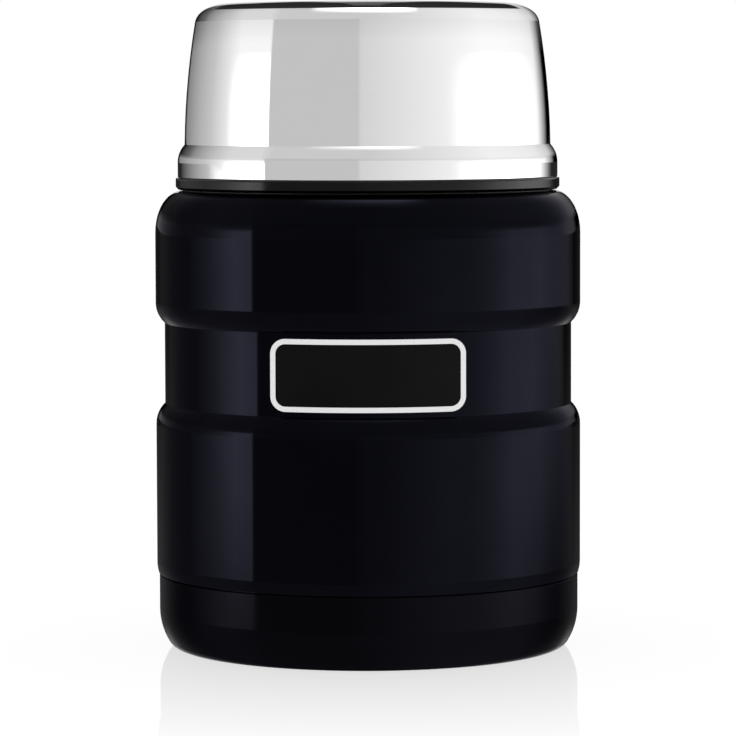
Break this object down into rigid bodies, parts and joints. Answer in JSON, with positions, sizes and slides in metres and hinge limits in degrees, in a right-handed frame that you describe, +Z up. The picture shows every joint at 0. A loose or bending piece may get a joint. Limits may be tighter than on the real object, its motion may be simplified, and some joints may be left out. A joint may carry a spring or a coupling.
{
  "type": "insulated food jar",
  "caption": "Round vacuum-insulated food jar with a waisted body, a screw-on steel bowl lid, a screw stopper and a folding spoon stored under the lid.",
  "frame": {"origin": "on the surface that the jar stands on, at the jar's axis", "axes": "+Z up along the jar's axis, the nameplate faces -Y"},
  "size_m": [0.094, 0.094, 0.142],
  "materials": {
    "body_paint": "gloss midnight blue",
    "base_paint": "semi-gloss midnight blue",
    "polished_steel": "mirror polished stainless steel",
    "plain_steel": "satin stainless steel",
    "spoon_steel": "tumbled stainless steel",
    "foil": "bright foil",
    "getter": "sintered",
    "nameplate_silver": "satin",
    "nameplate_black": "satin black",
    "black_plastic": "satin moulded",
    "silicone": "matt black",
    "foam": "rigid foam"
  },
  "bodies": {
    "jar": {"outer_shell": "body_paint", "base_cup": "base_paint", "outer_bottom": "plain_steel", "vacuum_port_seal": "plain_steel", "inner_vessel": "plain_steel", "radiation_foil": "foil", "getter_clip": "plain_steel", "getter_pellet": "getter", "nameplate_frame": "nameplate_silver", "nameplate_panel": "nameplate_black"},
    "lid_seal": {"lid_gasket": "silicone"},
    "lid": {"lid_outer_shell": "polished_steel", "lid_inner_bowl": "plain_steel", "lid_collar": "black_plastic"},
    "stopper_seal": {"stopper_gasket": "silicone"},
    "stopper": {"stopper_body": "black_plastic", "stopper_foam": "foam", "stopper_cover": "black_plastic"},
    "spoon": {"spoon_bowl": "spoon_steel", "spoon_handle": "spoon_steel", "spoon_pivot": "spoon_steel"}
  },
  "joints": [
    {"name": "lid_rise", "type": "slide", "parent": "jar", "child": "lid_seal", "axis": [0, 0, 1], "range_m": [0, 0.024]},
    {"name": "lid_turn", "type": "hinge", "parent": "lid_seal", "child": "lid", "pos_m": [0, 0, 0.105], "axis": [0, 0, 1], "range_deg": [0, 720]},
    {"name": "stopper_rise", "type": "slide", "parent": "jar", "child": "stopper_seal", "axis": [0, 0, 1], "range_m": [0, 0.008]},
    {"name": "stopper_turn", "type": "hinge", "parent": "stopper_seal", "child": "stopper", "pos_m": [0, 0, 0.105], "axis": [0, 0, 1], "range_deg": [0, 360]},
    {"name": "spoon_lift", "type": "slide", "parent": "stopper", "child": "spoon", "axis": [0, 0, 1], "range_m": [0, 0.0065]}
  ],
  "couplings": [
    {"joint": "lid_rise", "follows": "lid_turn", "m_per_rad": 0.0019098},
    {"joint": "stopper_rise", "follows": "stopper_turn", "m_per_rad": 0.0012732}
  ]
}
